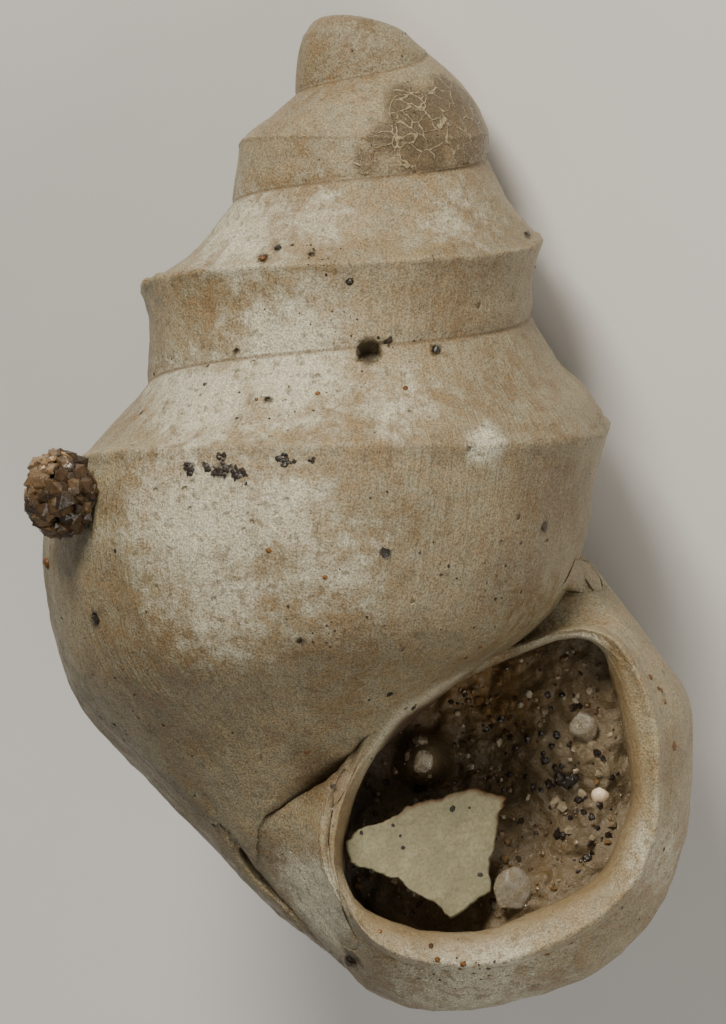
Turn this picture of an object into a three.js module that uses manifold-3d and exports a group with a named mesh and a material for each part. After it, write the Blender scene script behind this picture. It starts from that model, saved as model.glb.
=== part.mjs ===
// A sea snail's shell, 1.2 mm tall, lying on its back with the mouth upwards.
// Millimetres, +Z up, the tip towards +Y. The origin is the centre of the whole object's box.
import * as THREE from "three";
import { mergeVertices } from "three/addons/utils/BufferGeometryUtils.js";
import Module from "manifold-3d";

const wasm = await Module();
wasm.setup();

// The coil: lines that run along the whorl, each given every half turn from the tip to the mouth
// as [distance from the coiling axis, depth below the tip]. Whole turns are on the mouth's side.
const firstTurn = -1;
const turnStep = 0.5;
const mouthTurn = 3;
const growth = {
  seam: [[0.012, 0.016], [0.012, 0.013], [0.052, 0.037], [0.102, 0.103], [0.135, 0.160],
    [0.169, 0.242], [0.205, 0.348], [0.255, 0.471], [0.291, 0.627]],
  ramp: [[0.022, 0.019], [0.055, 0.003], [0.097, 0.072], [0.134, 0.136], [0.171, 0.215],
    [0.212, 0.304], [0.246, 0.406], [0.298, 0.531], [0.356, 0.704]],
  ledge: [[0.032, 0.026], [0.085, 0.009], [0.122, 0.100], [0.153, 0.153], [0.196, 0.243],
    [0.249, 0.337], [0.287, 0.442], [0.331, 0.570], [0.417, 0.772]],
  keel: [[0.042, 0.031], [0.098, 0.030], [0.136, 0.128], [0.164, 0.167], [0.211, 0.256],
    [0.271, 0.351], [0.313, 0.480], [0.357, 0.583], [0.443, 0.805]],
  wall: [[0.048, 0.034], [0.103, 0.056], [0.139, 0.146], [0.165, 0.189], [0.204, 0.302],
    [0.260, 0.398], [0.301, 0.545], [0.367, 0.661], [0.449, 0.925]],
  edge: [[0.052, 0.037], [0.102, 0.103], [0.135, 0.160], [0.169, 0.242], [0.205, 0.348],
    [0.255, 0.471], [0.291, 0.627], [0.358, 0.735], [0.443, 0.989]],
  low: [[0.047, 0.049], [0.091, 0.125], [0.120, 0.191], [0.150, 0.282], [0.182, 0.398],
    [0.228, 0.533], [0.261, 0.707], [0.313, 0.848], [0.409, 1.080]],
  base: [[0.032, 0.059], [0.064, 0.145], [0.085, 0.216], [0.106, 0.314], [0.129, 0.437],
    [0.162, 0.584], [0.184, 0.768], [0.226, 0.925], [0.331, 1.161]],
  foot: [[0.020, 0.069], [0.040, 0.160], [0.054, 0.236], [0.066, 0.339], [0.081, 0.471],
    [0.103, 0.628], [0.117, 0.827], [0.136, 1.003], [0.202, 1.204]],
  navel: [[0.014, 0.071], [0.021, 0.166], [0.028, 0.248], [0.034, 0.355], [0.043, 0.492],
    [0.054, 0.658], [0.061, 0.868], [0.068, 1.056], [0.090, 1.200]],
  core: [[0.010, 0.054], [0.010, 0.115], [0.010, 0.200], [0.010, 0.300], [0.010, 0.420],
    [0.010, 0.580], [0.010, 0.870], [0.010, 1.040], [0.010, 1.110]],
  roof: [[0.010, 0.022], [0.010, 0.024], [0.010, 0.045], [0.010, 0.090], [0.010, 0.160],
    [0.010, 0.240], [0.010, 0.360], [0.010, 0.500], [0.010, 0.720]],
};
const stepsPerTurn = 32;
const axisCore = 0.016; // radius of the solid pillar that the coil winds round
const pillarSides = 12;
const pillarTop = 0.024;
const pillarBase = 0.9;

// The mouth, as outlines in planes across the view, [right of the axis, depth below the tip].
// Each outline has one point for each line of the coil, from the seam round to the roof.
const lipHeight = 0.155; // how far the rim stands in front of the axis
const bulgeHeight = 0.085;
const bulgeShare = 0.35; // how far the neck has widened at that height
const throatHeight = 0.105;
const rim = [[0.300, 0.676], [0.362, 0.752], [0.392, 0.800], [0.408, 0.850], [0.416, 0.935],
  [0.408, 0.998], [0.376, 1.062], [0.300, 1.122], [0.185, 1.158], [0.060, 1.125],
  [-0.012, 0.975], [0.100, 0.820]];
const throat = [[0.300, 0.712], [0.328, 0.753], [0.351, 0.822], [0.366, 0.874], [0.374, 0.925],
  [0.366, 0.969], [0.345, 1.024], [0.285, 1.068], [0.180, 1.112], [0.061, 1.090],
  [0.028, 0.990], [0.112, 0.825]];
const lipRound = 0.008; // the rim's rounding
const shellWall = 0.028;
const hollowStart = 2.5; // the turn at which the hollow ends, deep in the body whorl
const innerWall = 2.25; // the turn up to which the earlier whorls close the mouth's inner side

// What has washed into the mouth, with places as [right of the axis, depth below the tip].
const fillGap = 0.001;
const fillFace = 0.03; // height of the sediment's face in front of the axis
const chipOutline = [[0.042, 1.005], [0.044, 0.987], [0.093, 0.972], [0.168, 0.938],
  [0.189, 0.935], [0.222, 0.941], [0.215, 0.973], [0.210, 1.033], [0.215, 1.061],
  [0.167, 1.095], [0.112, 1.065], [0.100, 1.052], [0.046, 1.041]];
const chipThickness = 0.02;
const grainRadius = 0.92; // share of its stated size that a grain reaches on average
const grainWave = 0.05;
const grainLift = 1.02; // keeps a lying grain clear of the sediment
const lyingGrains = [
  { name: "translucent_grain", at: [0.240, 1.056], size: [0.024, 0.030, 0.018], color: 0xb8a583 },
  { name: "clear_grain", at: [0.310, 0.849], size: [0.020, 0.022, 0.016], color: 0xc9b78f },
  { name: "small_clear_grain", at: [0.118, 0.905], size: [0.013, 0.016, 0.012], color: 0xb8a178 },
  { name: "bead", at: [0.338, 0.930], size: [0.012, 0.012, 0.012], color: 0xe6cfb0 },
];

// The aggregate stuck to the left of the body whorl.
const stuckGrain = { at: [-0.352, 0.614], height: 0.175, size: [0.042, 0.053, 0.045] };

// How the shell lies: turned from the view along the coil's axis, and a small flat worn underneath.
const restPitch = THREE.MathUtils.degToRad(-28.5);
const restRoll = THREE.MathUtils.degToRad(28.5);
const flatDepth = 0.012;
const slabSize = 4; // larger than the shell
const gridStep = 0.001; // the floor and the origin sit on this grid

const lineNames = Object.keys(growth);
const curves = lineNames.map(
  (name) => new THREE.SplineCurve(growth[name].map(([r, depth]) => new THREE.Vector2(r, depth))),
);

// A point of the coil in the row frame: the angle grows from the right, over the front, to the left.
function coilPoint(radius, depth, turn) {
  const angle = 2 * Math.PI * turn;
  return new THREE.Vector3(radius * Math.cos(angle), -depth, radius * Math.sin(angle));
}

// An outline with the ramp's straight lines kept, and the rest, from the keel on, made round.
function rounded(points) {
  const corner = lineNames.indexOf("keel");
  const arc = new THREE.SplineCurve([...points.slice(corner), points[0]]);
  const count = 2 * (points.length - corner);
  return [...points.slice(0, corner), ...arc.getPoints(count).slice(0, -1)];
}

// The whorl's outline at a turn, as [radius, depth] points from the seam round to the roof.
function section(turn) {
  const along = (turn - firstTurn) / (mouthTurn - firstTurn);
  return rounded(curves.map((curve) => curve.getPoint(along)));
}

function middle(points) {
  const sum = points.reduce((total, p) => total.add(p), points[0].clone().multiplyScalar(0));
  return sum.divideScalar(points.length);
}

// The same outline, moved in by the wall's thickness.
function shrunk(outline, inset) {
  const centre = middle(outline);
  return outline.map((p) => p.clone().addScaledVector(centre.clone().sub(p).normalize(), inset));
}

// A closed solid from rings of points, with a fan from the middle of the first and the last ring.
function ringSolid(rings) {
  const count = rings[0].length;
  const points = [...rings.flat(), middle(rings[0]), middle(rings.at(-1))];
  const [firstMiddle, lastMiddle] = [points.length - 2, points.length - 1];
  const last = (rings.length - 1) * count;
  const faces = [];
  for (let j = 0; j < count; j++) {
    const next = (j + 1) % count;
    for (let base = 0; base < last; base += count) {
      faces.push(base + j, base + next, base + next + count);
      faces.push(base + j, base + next + count, base + j + count);
    }
    faces.push(firstMiddle, next, j, lastMiddle, last + j, last + next);
  }
  const geometry = new THREE.BufferGeometry().setFromPoints(points);
  geometry.setIndex(faces);
  return solidOf(geometry);
}

function volumeOf(positions, index) {
  let volume = 0;
  const [a, b, c] = [new THREE.Vector3(), new THREE.Vector3(), new THREE.Vector3()];
  for (let i = 0; i < index.length; i += 3) {
    a.fromArray(positions, 3 * index[i]);
    b.fromArray(positions, 3 * index[i + 1]);
    c.fromArray(positions, 3 * index[i + 2]);
    volume += a.dot(b.cross(c)) / 6;
  }
  return volume;
}

// A geometry as a solid for joining and cutting, turned right side out if need be.
function solidOf(geometry) {
  const bare = geometry.clone();
  bare.deleteAttribute("normal");
  bare.deleteAttribute("uv");
  const merged = mergeVertices(bare, 1e-6);
  const vertProperties = new Float32Array(merged.attributes.position.array);
  const triVerts = new Uint32Array(merged.index.array);
  if (volumeOf(vertProperties, triVerts) < 0) {
    for (let i = 0; i < triVerts.length; i += 3) {
      [triVerts[i + 1], triVerts[i + 2]] = [triVerts[i + 2], triVerts[i + 1]];
    }
  }
  return new wasm.Manifold(new wasm.Mesh({ numProp: 3, vertProperties, triVerts }));
}

const flat = (outline, height) => outline.map((p) => new THREE.Vector3(p.x, -p.y, height));
const asPoints = (pairs) => pairs.map(([x, depth]) => new THREE.Vector2(x, depth));

// The coil between two turns, in half-turn lengths so that no length meets itself. The last
// length goes straight on through the outlines beyond, each at its height in front of the axis.
function coil(from, to, shape, beyond = []) {
  const lengths = [];
  for (let start = from; start < to; start += turnStep) {
    const end = Math.min(start + turnStep, to);
    const rings = [];
    for (let turn = start; turn <= end; turn += 1 / stepsPerTurn) {
      rings.push(shape(turn).map((p) => coilPoint(p.x, p.y, turn)));
    }
    if (end === to) {
      rings.push(...beyond.map(([outline, height]) => flat(outline, height)));
    }
    lengths.push(ringSolid(rings));
  }
  return lengths.reduce((whole, next) => whole.add(next));
}

const between = (one, other, share) => one.map((p, i) => p.clone().lerp(other[i], share));

const rimPoints = rounded(asPoints(rim));
const throatPoints = rounded(asPoints(throat));
const lastWhorl = coil(innerWall, mouthTurn, section, [
  [between(section(mouthTurn), rimPoints, bulgeShare), bulgeHeight],
  [rimPoints, lipHeight - lipRound],
  [shrunk(rimPoints, lipRound), lipHeight],
]);
const innerSection = (turn) => shrunk(section(turn), shellWall);
const hollow = coil(hollowStart, mouthTurn, innerSection, [
  [throatPoints, throatHeight],
  [shrunk(rimPoints, 2 * lipRound), lipHeight + lipRound],
]);
const pillar = new THREE.CylinderGeometry(axisCore, axisCore, pillarBase - pillarTop, pillarSides);
pillar.translate(0, -(pillarTop + pillarBase) / 2, 0);
const earlierWhorls = coil(firstTurn, innerWall, section).add(solidOf(pillar));
const shell = lastWhorl.subtract(hollow).add(earlierWhorls);

// The sediment fills the hollow up to its face, a hair short of the wall.
const fillSection = (turn) => shrunk(section(turn), shellWall + fillGap);
const fillMouth = between(innerSection(mouthTurn), throatPoints, fillFace / throatHeight);
const fillStart = hollowStart + 1 / stepsPerTurn;
const fill = coil(fillStart, mouthTurn, fillSection, [[shrunk(fillMouth, fillGap), fillFace]]);
const sediment = fill.subtract(earlierWhorls);

function chipSolid() {
  const outline = chipOutline.map(([x, depth]) => new THREE.Vector2(x, -depth));
  const geometry = new THREE.ExtrudeGeometry(new THREE.Shape(outline), {
    depth: chipThickness,
    bevelEnabled: false,
  });
  geometry.translate(0, 0, fillFace + fillGap);
  return solidOf(geometry);
}

// An angular grain: a ball of facets, pushed in and out by a slow wave over its surface.
function grainSolid(size, centre, detail) {
  const geometry = new THREE.IcosahedronGeometry(1, detail);
  const points = geometry.attributes.position;
  const p = new THREE.Vector3();
  for (let i = 0; i < points.count; i++) {
    p.fromBufferAttribute(points, i);
    const wave = Math.sin(5 * p.x + 2) + Math.sin(4 * p.y + 1) + Math.sin(6 * p.z);
    p.multiplyScalar(grainRadius + grainWave * wave).multiply(size).add(centre);
    points.setXYZ(i, p.x, p.y, p.z);
  }
  return solidOf(geometry);
}

function lyingGrain({ at, size }) {
  const [width, length, height] = size;
  const centre = new THREE.Vector3(at[0], -at[1], fillFace + fillGap + grainLift * height);
  return grainSolid(new THREE.Vector3(width, length, height), centre, 1);
}

function stuckSolid({ at, height, size }) {
  const centre = new THREE.Vector3(at[0], -at[1], height);
  return grainSolid(new THREE.Vector3(...size), centre, 2).subtract(shell);
}

const rest = new THREE.Matrix4().makeRotationFromEuler(new THREE.Euler(restPitch, restRoll, 0, "YXZ"));
const unrest = rest.clone().invert();

function boxOf(solid) {
  return new THREE.Box3().setFromBufferAttribute(geometryOf(solid).attributes.position);
}

function geometryOf(solid) {
  const { vertProperties, triVerts } = solid.getMesh();
  const geometry = new THREE.BufferGeometry();
  geometry.setAttribute("position", new THREE.BufferAttribute(vertProperties, 3));
  geometry.setIndex(new THREE.BufferAttribute(triVerts, 1));
  return geometry.applyMatrix4(rest);
}

// The flat is where a slab just above the lowest point takes off the bulge.
function wornFlat(solid) {
  const box = boxOf(solid);
  const floor = Math.ceil((box.min.z + flatDepth) / gridStep) * gridStep;
  const slab = new THREE.BoxGeometry(slabSize, slabSize, slabSize);
  slab.translate(0, 0, floor - slabSize / 2);
  return solid.subtract(solidOf(slab.applyMatrix4(unrest)));
}

const group = new THREE.Group();
function place(name, solid, color, roughness) {
  const material = new THREE.MeshStandardMaterial({ color, roughness, metalness: 0 });
  const mesh = new THREE.Mesh(geometryOf(solid), material);
  mesh.name = name;
  group.add(mesh);
}
place("shell", wornFlat(shell), 0xd9cdb8, 0.45);
place("sediment", sediment, 0x5a4526, 0.9);
place("chip", chipSolid(), 0xd5d3c2, 0.6);
place("stuck_grain", stuckSolid(stuckGrain), 0x8a6433, 0.6);
for (const grain of lyingGrains) {
  place(grain.name, lyingGrain(grain), grain.color, 0.4);
}

const box = new THREE.Box3().setFromObject(group);
const centre = box.getCenter(new THREE.Vector3()).divideScalar(gridStep).round();
group.position.copy(centre).multiplyScalar(-gridStep);
export default group;
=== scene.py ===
import bmesh
import bpy
import numpy as np
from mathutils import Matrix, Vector
from mathutils.bvhtree import BVHTree


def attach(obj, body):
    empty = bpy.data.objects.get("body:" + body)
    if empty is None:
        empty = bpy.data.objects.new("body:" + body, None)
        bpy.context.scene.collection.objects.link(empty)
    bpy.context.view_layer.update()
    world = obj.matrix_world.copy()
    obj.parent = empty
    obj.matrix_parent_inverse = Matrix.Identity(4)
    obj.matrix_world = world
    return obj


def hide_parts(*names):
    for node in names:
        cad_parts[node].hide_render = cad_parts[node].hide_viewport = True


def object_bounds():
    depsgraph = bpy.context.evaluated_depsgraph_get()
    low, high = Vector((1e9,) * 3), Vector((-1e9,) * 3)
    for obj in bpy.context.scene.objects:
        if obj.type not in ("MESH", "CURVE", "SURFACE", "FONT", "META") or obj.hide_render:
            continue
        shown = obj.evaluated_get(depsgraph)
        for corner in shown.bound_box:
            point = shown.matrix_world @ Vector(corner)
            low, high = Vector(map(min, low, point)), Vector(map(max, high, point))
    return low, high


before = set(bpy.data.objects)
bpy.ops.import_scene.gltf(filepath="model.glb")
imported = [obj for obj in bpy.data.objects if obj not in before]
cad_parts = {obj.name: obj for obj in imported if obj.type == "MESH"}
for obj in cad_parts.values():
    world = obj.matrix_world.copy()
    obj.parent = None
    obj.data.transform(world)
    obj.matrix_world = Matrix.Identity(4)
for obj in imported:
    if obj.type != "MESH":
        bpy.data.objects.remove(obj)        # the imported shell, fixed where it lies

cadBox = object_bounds()
mm = 0.001

# How the shell lies: a pitch about X, then a roll about Y, then a shift in millimetres.
pose = {"pitch": -28.5, "roll": 28.5, "shift": (-0.215, 0.536, -0.263)}


def lyingMatrix():    # roll about Y times pitch about X
    pitch, roll = np.radians([pose["pitch"], pose["roll"]])
    aboutX = np.array([[1, 0, 0], [0, np.cos(pitch), -np.sin(pitch)], [0, np.sin(pitch), np.cos(pitch)]])
    aboutY = np.array([[np.cos(roll), 0, np.sin(roll)], [0, 1, 0], [-np.sin(roll), 0, np.cos(roll)]])
    return aboutY @ aboutX


tilt = lyingMatrix()


def toRow(points):    # a point of the coil, in mm, turned, shifted and brought to metres
    return (points @ tilt.T + np.array(pose["shift"])) * mm


# Lines along the whorl, each every half turn from the tip to the mouth: (distance from the axis, depth).
coil = {"firstTurn": -1, "lastTurn": 3, "bodyTurn": 2.5, "steps": 205, "wall": 0.028,
        "suture": 0.0025, "axisDepth": 0.94, "tubeStart": 2.38, "grownTurn": 2.6, "hollowTurn": 2.53}
growth = {
    "seam": [(.012, .016), (.012, .013), (.052, .037), (.102, .103), (.135, .160), (.169, .242),
             (.205, .348), (.255, .471), (.291, .627)],
    "ramp": [(.022, .019), (.055, .003), (.097, .072), (.134, .136), (.171, .215), (.212, .304),
             (.246, .406), (.298, .531), (.356, .704)],
    "ledge": [(.032, .026), (.085, .009), (.122, .100), (.153, .153), (.196, .243), (.249, .337),
              (.287, .442), (.331, .570), (.417, .772)],
    "keel": [(.042, .031), (.098, .030), (.136, .128), (.164, .167), (.211, .256), (.271, .351),
             (.313, .480), (.357, .583), (.443, .805)],
    "wall": [(.048, .034), (.103, .056), (.139, .146), (.165, .189), (.204, .302), (.260, .398),
             (.301, .545), (.367, .661), (.449, .925)],
    "edge": [(.052, .037), (.102, .103), (.135, .160), (.169, .242), (.205, .348), (.255, .471),
             (.291, .627), (.358, .735), (.443, .989)],
    "low": [(.047, .049), (.091, .125), (.120, .191), (.150, .282), (.182, .398), (.228, .533),
            (.261, .707), (.313, .848), (.409, 1.080)],
    "base": [(.032, .059), (.064, .145), (.085, .216), (.106, .314), (.129, .437), (.162, .584),
             (.184, .768), (.226, .925), (.331, 1.161)],
    "foot": [(.020, .069), (.040, .160), (.054, .236), (.066, .339), (.081, .471), (.103, .628),
             (.117, .827), (.136, 1.003), (.202, 1.204)],
    "navel": [(.014, .071), (.021, .166), (.028, .248), (.034, .355), (.043, .492), (.054, .658),
              (.061, .868), (.068, 1.056), (.090, 1.200)],
    "core": [(.010, .054), (.010, .115), (.010, .200), (.010, .300), (.010, .420), (.010, .580),
             (.010, .870), (.010, 1.040), (.010, 1.110)],
    "roof": [(.010, .022), (.010, .024), (.010, .045), (.010, .090), (.010, .160), (.010, .240),
             (.010, .360), (.010, .500), (.010, .720)],
}
lineNames = list(growth)
lines = np.array(list(growth.values())).transpose(1, 0, 2)
samples = [10, 9, 6, 10, 8, 12, 13, 14, 12, 5, 5, 5]    # points of the outline between two lines
across = np.concatenate([line + np.arange(count) / count for line, count in enumerate(samples)])
edgeRow = sum(samples[:lineNames.index("edge")])
navelRow = sum(samples[:lineNames.index("navel")])


def spline(points, share):    # Catmull-Rom: cubic pieces whose slope is half the step between the neighbours
    last = len(points) - 1
    place = np.clip(share, 0, 1) * last
    k = np.minimum(place.astype(int), last - 1)
    w = (place - k).reshape(-1, *[1] * (points.ndim - 1))
    before, start, end, after = (points[np.clip(k + step, 0, last)] for step in (-1, 0, 1, 2))
    leave, reach = (end - before) / 2, (after - start) / 2
    cubic = (2 * start - 2 * end + leave + reach) * w + (-3 * start + 3 * end - 2 * leave - reach)
    return (cubic * w + leave) * w + start


def outlines(control):    # (n, 12, 2) lines to (n, m, 2) points: one spline to the keel, one on from it
    points = control.transpose(1, 0, 2)
    keel = lineNames.index("keel")
    top = spline(points[:keel + 1], across[across < keel] / keel)
    rest = spline(np.concatenate([points[keel:], points[:1]]), (across[across >= keel] - keel) / (12 - keel))
    both = np.concatenate([top, rest])
    corner = (across > 0.3) & (across < 4.5)
    soft = (np.roll(both, 1, axis=0) + 2 * both + np.roll(both, -1, axis=0)) / 4
    both[corner] = soft[corner]    # rounds the keel
    return both.transpose(1, 0, 2)


def sections(turns):
    whole = coil["lastTurn"] - coil["firstTurn"]
    return spline(lines, (turns - coil["firstTurn"]) / whole)


def swept(rings, turns):    # (r cos a, -depth, r sin a), where a is the turn's angle
    angle = 2 * np.pi * turns[:, None]
    r, depth = rings[..., 0], rings[..., 1]
    return np.stack([r * np.cos(angle), -depth, r * np.sin(angle)], axis=-1)


def flat(rings, heights):    # outlines in planes across the view, each at its height
    level = np.broadcast_to(np.reshape(heights, (-1, 1)), rings.shape[:2])
    return np.stack([rings[..., 0], -rings[..., 1], level], axis=-1)


def shrunk(rings, inset):    # each point moved towards the middle of its outline
    inward = rings.mean(axis=1, keepdims=True) - rings
    return rings + inset * inward / np.linalg.norm(inward, axis=-1, keepdims=True)


def latticeNoise(points, cell, seed):    # random values at the corners of cells, blended by 3s^2 - 2s^3
    table = np.random.default_rng(seed).random(4096) * 2 - 1
    corner = np.floor(points / cell).astype(np.int64)
    s = points / cell - corner
    s = s * s * (3 - 2 * s)
    total = 0
    for shift in np.ndindex(2, 2, 2):
        key = ((corner + shift) * (73856093, 19349663, 83492791)).sum(axis=-1) % 4096
        total = total + table[key] * np.where(shift, s, 1 - s).prod(axis=-1)
    return total


def fractal(points, cell, octaves, seed):    # noise at a cell size, plus half as much at half the size, and so on
    return sum(latticeNoise(points, cell / 2**k, seed + k) / 2**k for k in range(octaves))


def cellNoise(points, cell, seed):    # one random point in each cell: how near it is, in cells, and its own value
    table = np.random.default_rng(seed).random((4096, 4))
    corner = np.floor(points / cell).astype(np.int64)
    nearest, value = np.full(points.shape[:-1], 9.0), np.zeros(points.shape[:-1])
    for shift in np.ndindex(3, 3, 3):
        there = corner + shift - 1
        key = (there * (73856093, 19349663, 83492791)).sum(axis=-1) % 4096
        far = np.linalg.norm(points / cell - there - table[key, :3], axis=-1)
        value = np.where(far < nearest, table[key, 3], value)
        nearest = np.minimum(nearest, far)
    return nearest, value


def gridNormals(points):    # cross product of the steps along and across the grid, pointing outwards
    along = np.gradient(points, axis=0)
    aside = (np.roll(points, -1, axis=1) - np.roll(points, 1, axis=1)) / 2
    normal = np.cross(along, aside)
    return normal / np.maximum(np.linalg.norm(normal, axis=-1, keepdims=True), 1e-12)


def bump(value, middle, width):    # exp(-((value - middle) / width)^2)
    return np.exp(-((value - middle) / width) ** 2)


def ease(value, start, end):    # 0 to 1 between two values, by 3s^2 - 2s^3
    s = np.clip((value - start) / (end - start), 0, 1)
    return s * s * (3 - 2 * s)


# Places on the front, as (right of the axis, depth, radius, strength), in mm.
patches = {
    # chalk: chalky white wear, and painted highlights on the upper ramps and the bright upper left of the body whorl
    "chalk": [(-.083, .434, .085, .9), (-.190, .485, .075, .8), (-.178, .632, .10, .8), (-.081, .615, .07, .7),
              (-.016, .680, .08, .5), (-.146, .728, .09, .6), (-.264, .639, .07, .4), (-.157, .280, .07, .7),
              (-.061, .248, .05, .5), (-.010, 1.095, .055, 1.5), (.162, .515, .022, 1.2), (.05, .470, .06, .5),
              (-.061, .350, .05, .45), (.100, .232, .06, .35), (.200, 1.165, .12, .6), (.400, 1.00, .06, .5)],
    # stain: brown stains, and painted shade on the right side, on the base and beside the stuck lump
    "stain": [(.250, .570, .10, .8), (.168, .660, .10, .55), (.115, .520, .045, .9), (.127, .756, .11, .6),
              (-.084, .880, .10, .6), (-.289, .620, .035, 1.0), (-.290, .700, .045, .6), (-.110, .170, .07, .6),
              (-.043, .314, .05, .7), (.106, .335, .07, .8), (.230, .300, .05, .7), (.007, .940, .05, 1.1),
              (-.021, .915, .04, 1.0), (.140, 1.135, .035, .7), (.353, .790, .03, .4), (.300, 1.060, .04, .5)],
    "glassy": [(.053, .128, .052, 1.1), (.093, .094, .048, .9), (.115, .142, .040, .9), (.010, .150, .035, .8),
               (.060, .165, .040, .9), (-.010, .175, .028, .7),
               (.030, .105, .036, .8), (.120, .180, .035, .8), (-.050, .030, .030, .35)],
    # dusk: painted shade on the right side and towards the bottom, and darker at the tip
    "dusk": [(.200, .350, .11, .9), (.270, .550, .12, 1.0), (.100, .630, .09, .7), (.170, .300, .08, .9),
             (.080, .110, .07, .7), (-.100, .830, .10, .15), (.070, .770, .08, .4),
             (.340, .600, .08, 1.0), (-.020, .020, .06, 1.1), (-.060, .140, .07, .5), (.200, .450, .08, .8), (.330, .780, .05, .4), (.230, .660, .09, .9),
             (-.200, .790, .07, .2)],
    "soot": [(-.196, .570, .013, 1.0), (-.156, .569, .020, 1.0), (-.080, .555, .010, .9), (-.055, .300, .045, .5),
             (.030, .310, .05, .35), (-.120, .560, .06, .35), (-.010, .750, .035, .35), (.110, .345, .05, .3)],
}


def regionOf(name, points):
    # the largest exp(-(distance / radius)^2) * strength of the patches on the front, and slow noise behind
    front = np.stack([points[:, 0], -points[:, 1]], axis=-1)
    places = np.array(patches[name])
    far = np.linalg.norm(front[:, None] - places[None, :, :2], axis=-1) / places[:, 2]
    near = (np.exp(-far**2) * places[:, 3]).max(axis=1) * ease(points[:, 2], -.02, .05)
    if name == "glassy":
        return near * ease(.203 - .26 * points[:, 0] * (points[:, 0] > 0) + points[:, 1], -.003, .003)
    behind = 0.55 * ease(fractal(points, .12, 2, len(name)), -.2, .9) * ease(points[:, 2], .05, -.05)
    return near + behind * (0.3 if name == "soot" else 1)


relief = {"cord": 0.0028, "growthLines": 0.0009, "grain": 0.0011, "waves": 0.0026, "crust": 0.0048,
          "craters": 0.0030, "furrows": 0.0009}


def displaced(points, turns):
    # the grid moved along its normals: keel cord + growth lines + grain + slow waves + crust on the keels
    normal = gridNormals(points)
    t = np.broadcast_to(turns[:, None], points.shape[:2])
    v = np.broadcast_to(across[None, :], points.shape[:2])
    size = np.clip((t + 1.2) / 3, 0.15, 1)
    cord = relief["cord"] * bump(v, 3, 0.22) * (1 + 0.5 * fractal(np.stack([t * 30, v, v], -1), 1, 2, 3))
    flow = np.stack([t * 60 + 0.35 * np.sin(v), v * 0.35, 0 * v], axis=-1)
    rings = relief["growthLines"] * fractal(flow, 0.55, 3, 11)
    low = ease(v, 5.5, 7.5) * ease(t, 2.0, 2.3)
    furrows = relief["furrows"] * (0.4 + low) * fractal(flow * (0.45, 0.6, 1), 0.5, 2, 15)
    grain = relief["grain"] * fractal(points, 0.014, 2, 21)
    waves = relief["waves"] * fractal(points, 0.09, 3, 31)
    rough = bump(v, 2.75, 0.55) * bump(t, 1.5, 0.75)
    crust = relief["crust"] * rough * fractal(points, 0.012, 3, 41)
    chalky = regionOf("chalk", points.reshape(-1, 3)).reshape(t.shape)
    near, value = cellNoise(points, 0.020, 51)
    craters = -relief["craters"] * (0.15 + chalky) * np.clip(1 - near / 0.45, 0, 1) * (value > 0.45)
    height = size * (cord + rings + furrows + grain + waves + crust + craters)
    fade = np.clip(v / 0.25, 0, 1) * np.clip((12 - v) / 2, 0, 1)
    return points + (height * fade)[..., None] * normal


def unitBall(levels):    # an icosphere as points and faces
    made = bmesh.new()
    bmesh.ops.create_icosphere(made, subdivisions=levels, radius=1)
    points = np.array([v.co for v in made.verts])
    faces = np.array([[v.index for v in face.verts] for face in made.faces])
    made.free()
    return points, faces


def quads(index):    # faces between neighbouring rows and columns of an index grid
    a, b, c, d = index[:-1, :-1], index[:-1, 1:], index[1:, 1:], index[1:, :-1]
    return np.stack([a, b, c, d], axis=-1).reshape(-1, 4)


def fan(index, middle):    # triangles from a row of points to one point
    return np.stack([index[:-1], index[1:], np.full(len(index) - 1, middle)], axis=-1)


def meshOf(name, points, *faceGroups, **values):    # a mesh from points, faces and values per point
    used, index = np.unique(np.concatenate([faces.ravel() for faces in faceGroups]), return_inverse=True)
    sizes = np.concatenate([np.full(len(faces), faces.shape[1]) for faces in faceGroups])
    mesh = bpy.data.meshes.new(name)
    mesh.vertices.add(len(used))
    mesh.vertices.foreach_set("co", points[used].astype(np.float32).ravel())
    mesh.loops.add(len(index))
    mesh.loops.foreach_set("vertex_index", index.astype(np.int32))
    mesh.polygons.add(len(sizes))
    starts = np.concatenate([[0], np.cumsum(sizes)[:-1]])
    mesh.polygons.foreach_set("loop_start", starts.astype(np.int32))
    mesh.update(calc_edges=True)
    mesh.validate()
    for key, value in values.items():
        setValues(mesh, key, value[used])
    return mesh


def objectOf(mesh):
    made = bpy.data.objects.new(mesh.name, mesh)
    bpy.context.scene.collection.objects.link(made)
    return made


def combined(base, other, operation):    # base joined with, or cut by, the other, as a mesh
    first, second = objectOf(base), objectOf(other)
    step = first.modifiers.new("combine", "BOOLEAN")
    step.operation, step.solver, step.object = operation, "MANIFOLD", second
    result = bpy.data.meshes.new_from_object(first.evaluated_get(bpy.context.evaluated_depsgraph_get()))
    bpy.data.objects.remove(first)
    bpy.data.objects.remove(second)
    return result


def pointsOf(mesh):
    points = np.empty(3 * len(mesh.vertices), np.float32)
    mesh.vertices.foreach_get("co", points)
    return points.reshape(-1, 3).astype(float)


def setPoints(mesh, points):
    mesh.vertices.foreach_set("co", points.astype(np.float32).ravel())
    mesh.update()


def setValues(mesh, name, values):    # one number, or one vector, per vertex
    kind, key = ("FLOAT", "value") if values.ndim == 1 else ("FLOAT_VECTOR", "vector")
    mesh.attributes.new(name, kind, "POINT").data.foreach_set(key, values.astype(np.float32).ravel())


def signedVolume(mesh):    # below nothing where the faces look inwards
    mesh.calc_loop_triangles()
    corners = np.empty(3 * len(mesh.loop_triangles), dtype=np.int32)
    mesh.loop_triangles.foreach_get("vertices", corners)
    a, b, c = pointsOf(mesh)[corners.reshape(-1, 3)].transpose(1, 0, 2)
    return np.sum(a * np.cross(b, c)) / 6


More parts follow.
